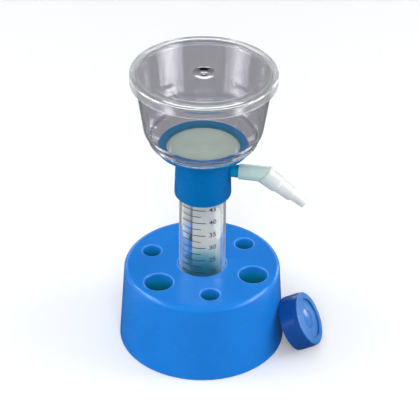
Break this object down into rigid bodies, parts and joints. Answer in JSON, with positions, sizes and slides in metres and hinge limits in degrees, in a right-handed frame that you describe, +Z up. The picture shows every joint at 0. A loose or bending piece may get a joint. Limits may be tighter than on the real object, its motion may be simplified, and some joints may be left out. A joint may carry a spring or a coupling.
{
  "type": "vacuum filtration unit",
  "caption": "Round tube stand holding a conical tube with a screw-on vacuum filter funnel, slip-on lid and side hose connector, and a loose screw cap.",
  "frame": {"origin": "centre of the stand's foot, on the bench and on the tube's axis", "axes": "+Z up along the tube's axis, -Y the side that shows the tube's graduations, +X the side of the hose connector and the loose cap"},
  "size_m": [0.1284, 0.1038, 0.1897],
  "materials": {
    "stand_blue": "satin moulded polypropylene",
    "tube_clear": "clear moulded polypropylene with printed graduations",
    "cap_blue": "satin moulded polyethylene",
    "seal_rubber": "smooth silicone",
    "filter_blue": "gloss moulded polystyrene",
    "membrane_white": "matt porous membrane",
    "funnel_clear": "clear moulded polystyrene",
    "lid_clear": "clear moulded polystyrene",
    "connector_white": "translucent moulded polypropylene"
  },
  "bodies": {
    "stand": {"tube_stand": "stand_blue", "centrifuge_tube": "tube_clear", "screw_cap": "cap_blue"},
    "seal": {"tube_seal": "seal_rubber"},
    "filter": {"filter_base": "filter_blue", "filter_membrane": "membrane_white", "funnel": "funnel_clear"},
    "lid": {"lid": "lid_clear"},
    "connector": {"hose_connector": "connector_white"}
  },
  "joints": [
    {"name": "filter_lift", "type": "slide", "parent": "stand", "child": "seal", "axis": [0, 0, 1], "range_m": [0, 0.006]},
    {"name": "filter_turn", "type": "hinge", "parent": "seal", "child": "filter", "pos_m": [0, 0, 0.1207], "axis": [0, 0, 1], "range_deg": [0, 540]},
    {"name": "lid_lift", "type": "slide", "parent": "filter", "child": "lid", "axis": [0, 0, 1], "range_m": [0, 0.03]},
    {"name": "connector_swivel", "type": "hinge", "parent": "filter", "child": "connector", "pos_m": [0.02556, -0.00474, 0.1232], "axis": [0.9833, -0.1822, 0], "continuous": true}
  ],
  "couplings": [
    {"joint": "filter_lift", "follows": "filter_turn", "m_per_rad": 0.00063661}
  ]
}
